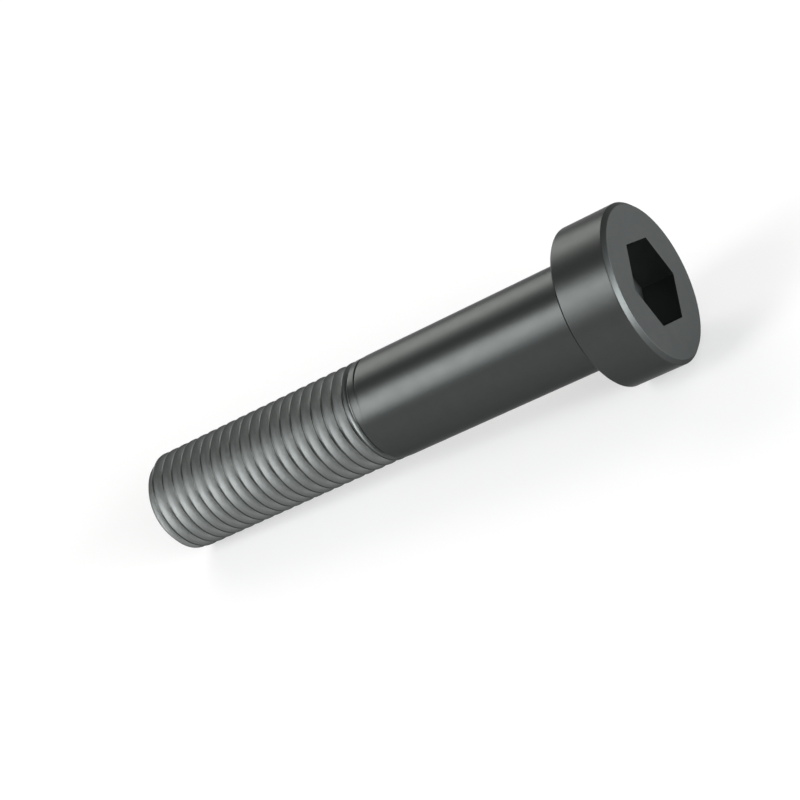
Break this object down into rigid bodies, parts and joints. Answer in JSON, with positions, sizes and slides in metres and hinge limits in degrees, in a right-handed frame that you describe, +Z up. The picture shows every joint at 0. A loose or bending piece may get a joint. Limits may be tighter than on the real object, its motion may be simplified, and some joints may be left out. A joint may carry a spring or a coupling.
{
  "type": "low head socket cap screw",
  "caption": "Low head socket cap screw with a flat cylindrical head, hexagon socket, plain shank and coarse right-hand metric thread, in blackened steel.",
  "frame": {"origin": "centre of the bearing face under the head, on the screw's axis", "axes": "+Z up, and the screw lies as it rests on a flat surface: its axis is in the XZ plane, from the tip at -X to the head at +X, and rises 2.931 degrees towards the head, where the head's rim and the last thread crest touch the surface"},
  "size_m": [0.0898, 0.024, 0.0244],
  "materials": {
    "blackened_steel": "black oxide, satin"
  },
  "bodies": {
    "root": {"screw": "blackened_steel"}
  },
  "joints": []
}
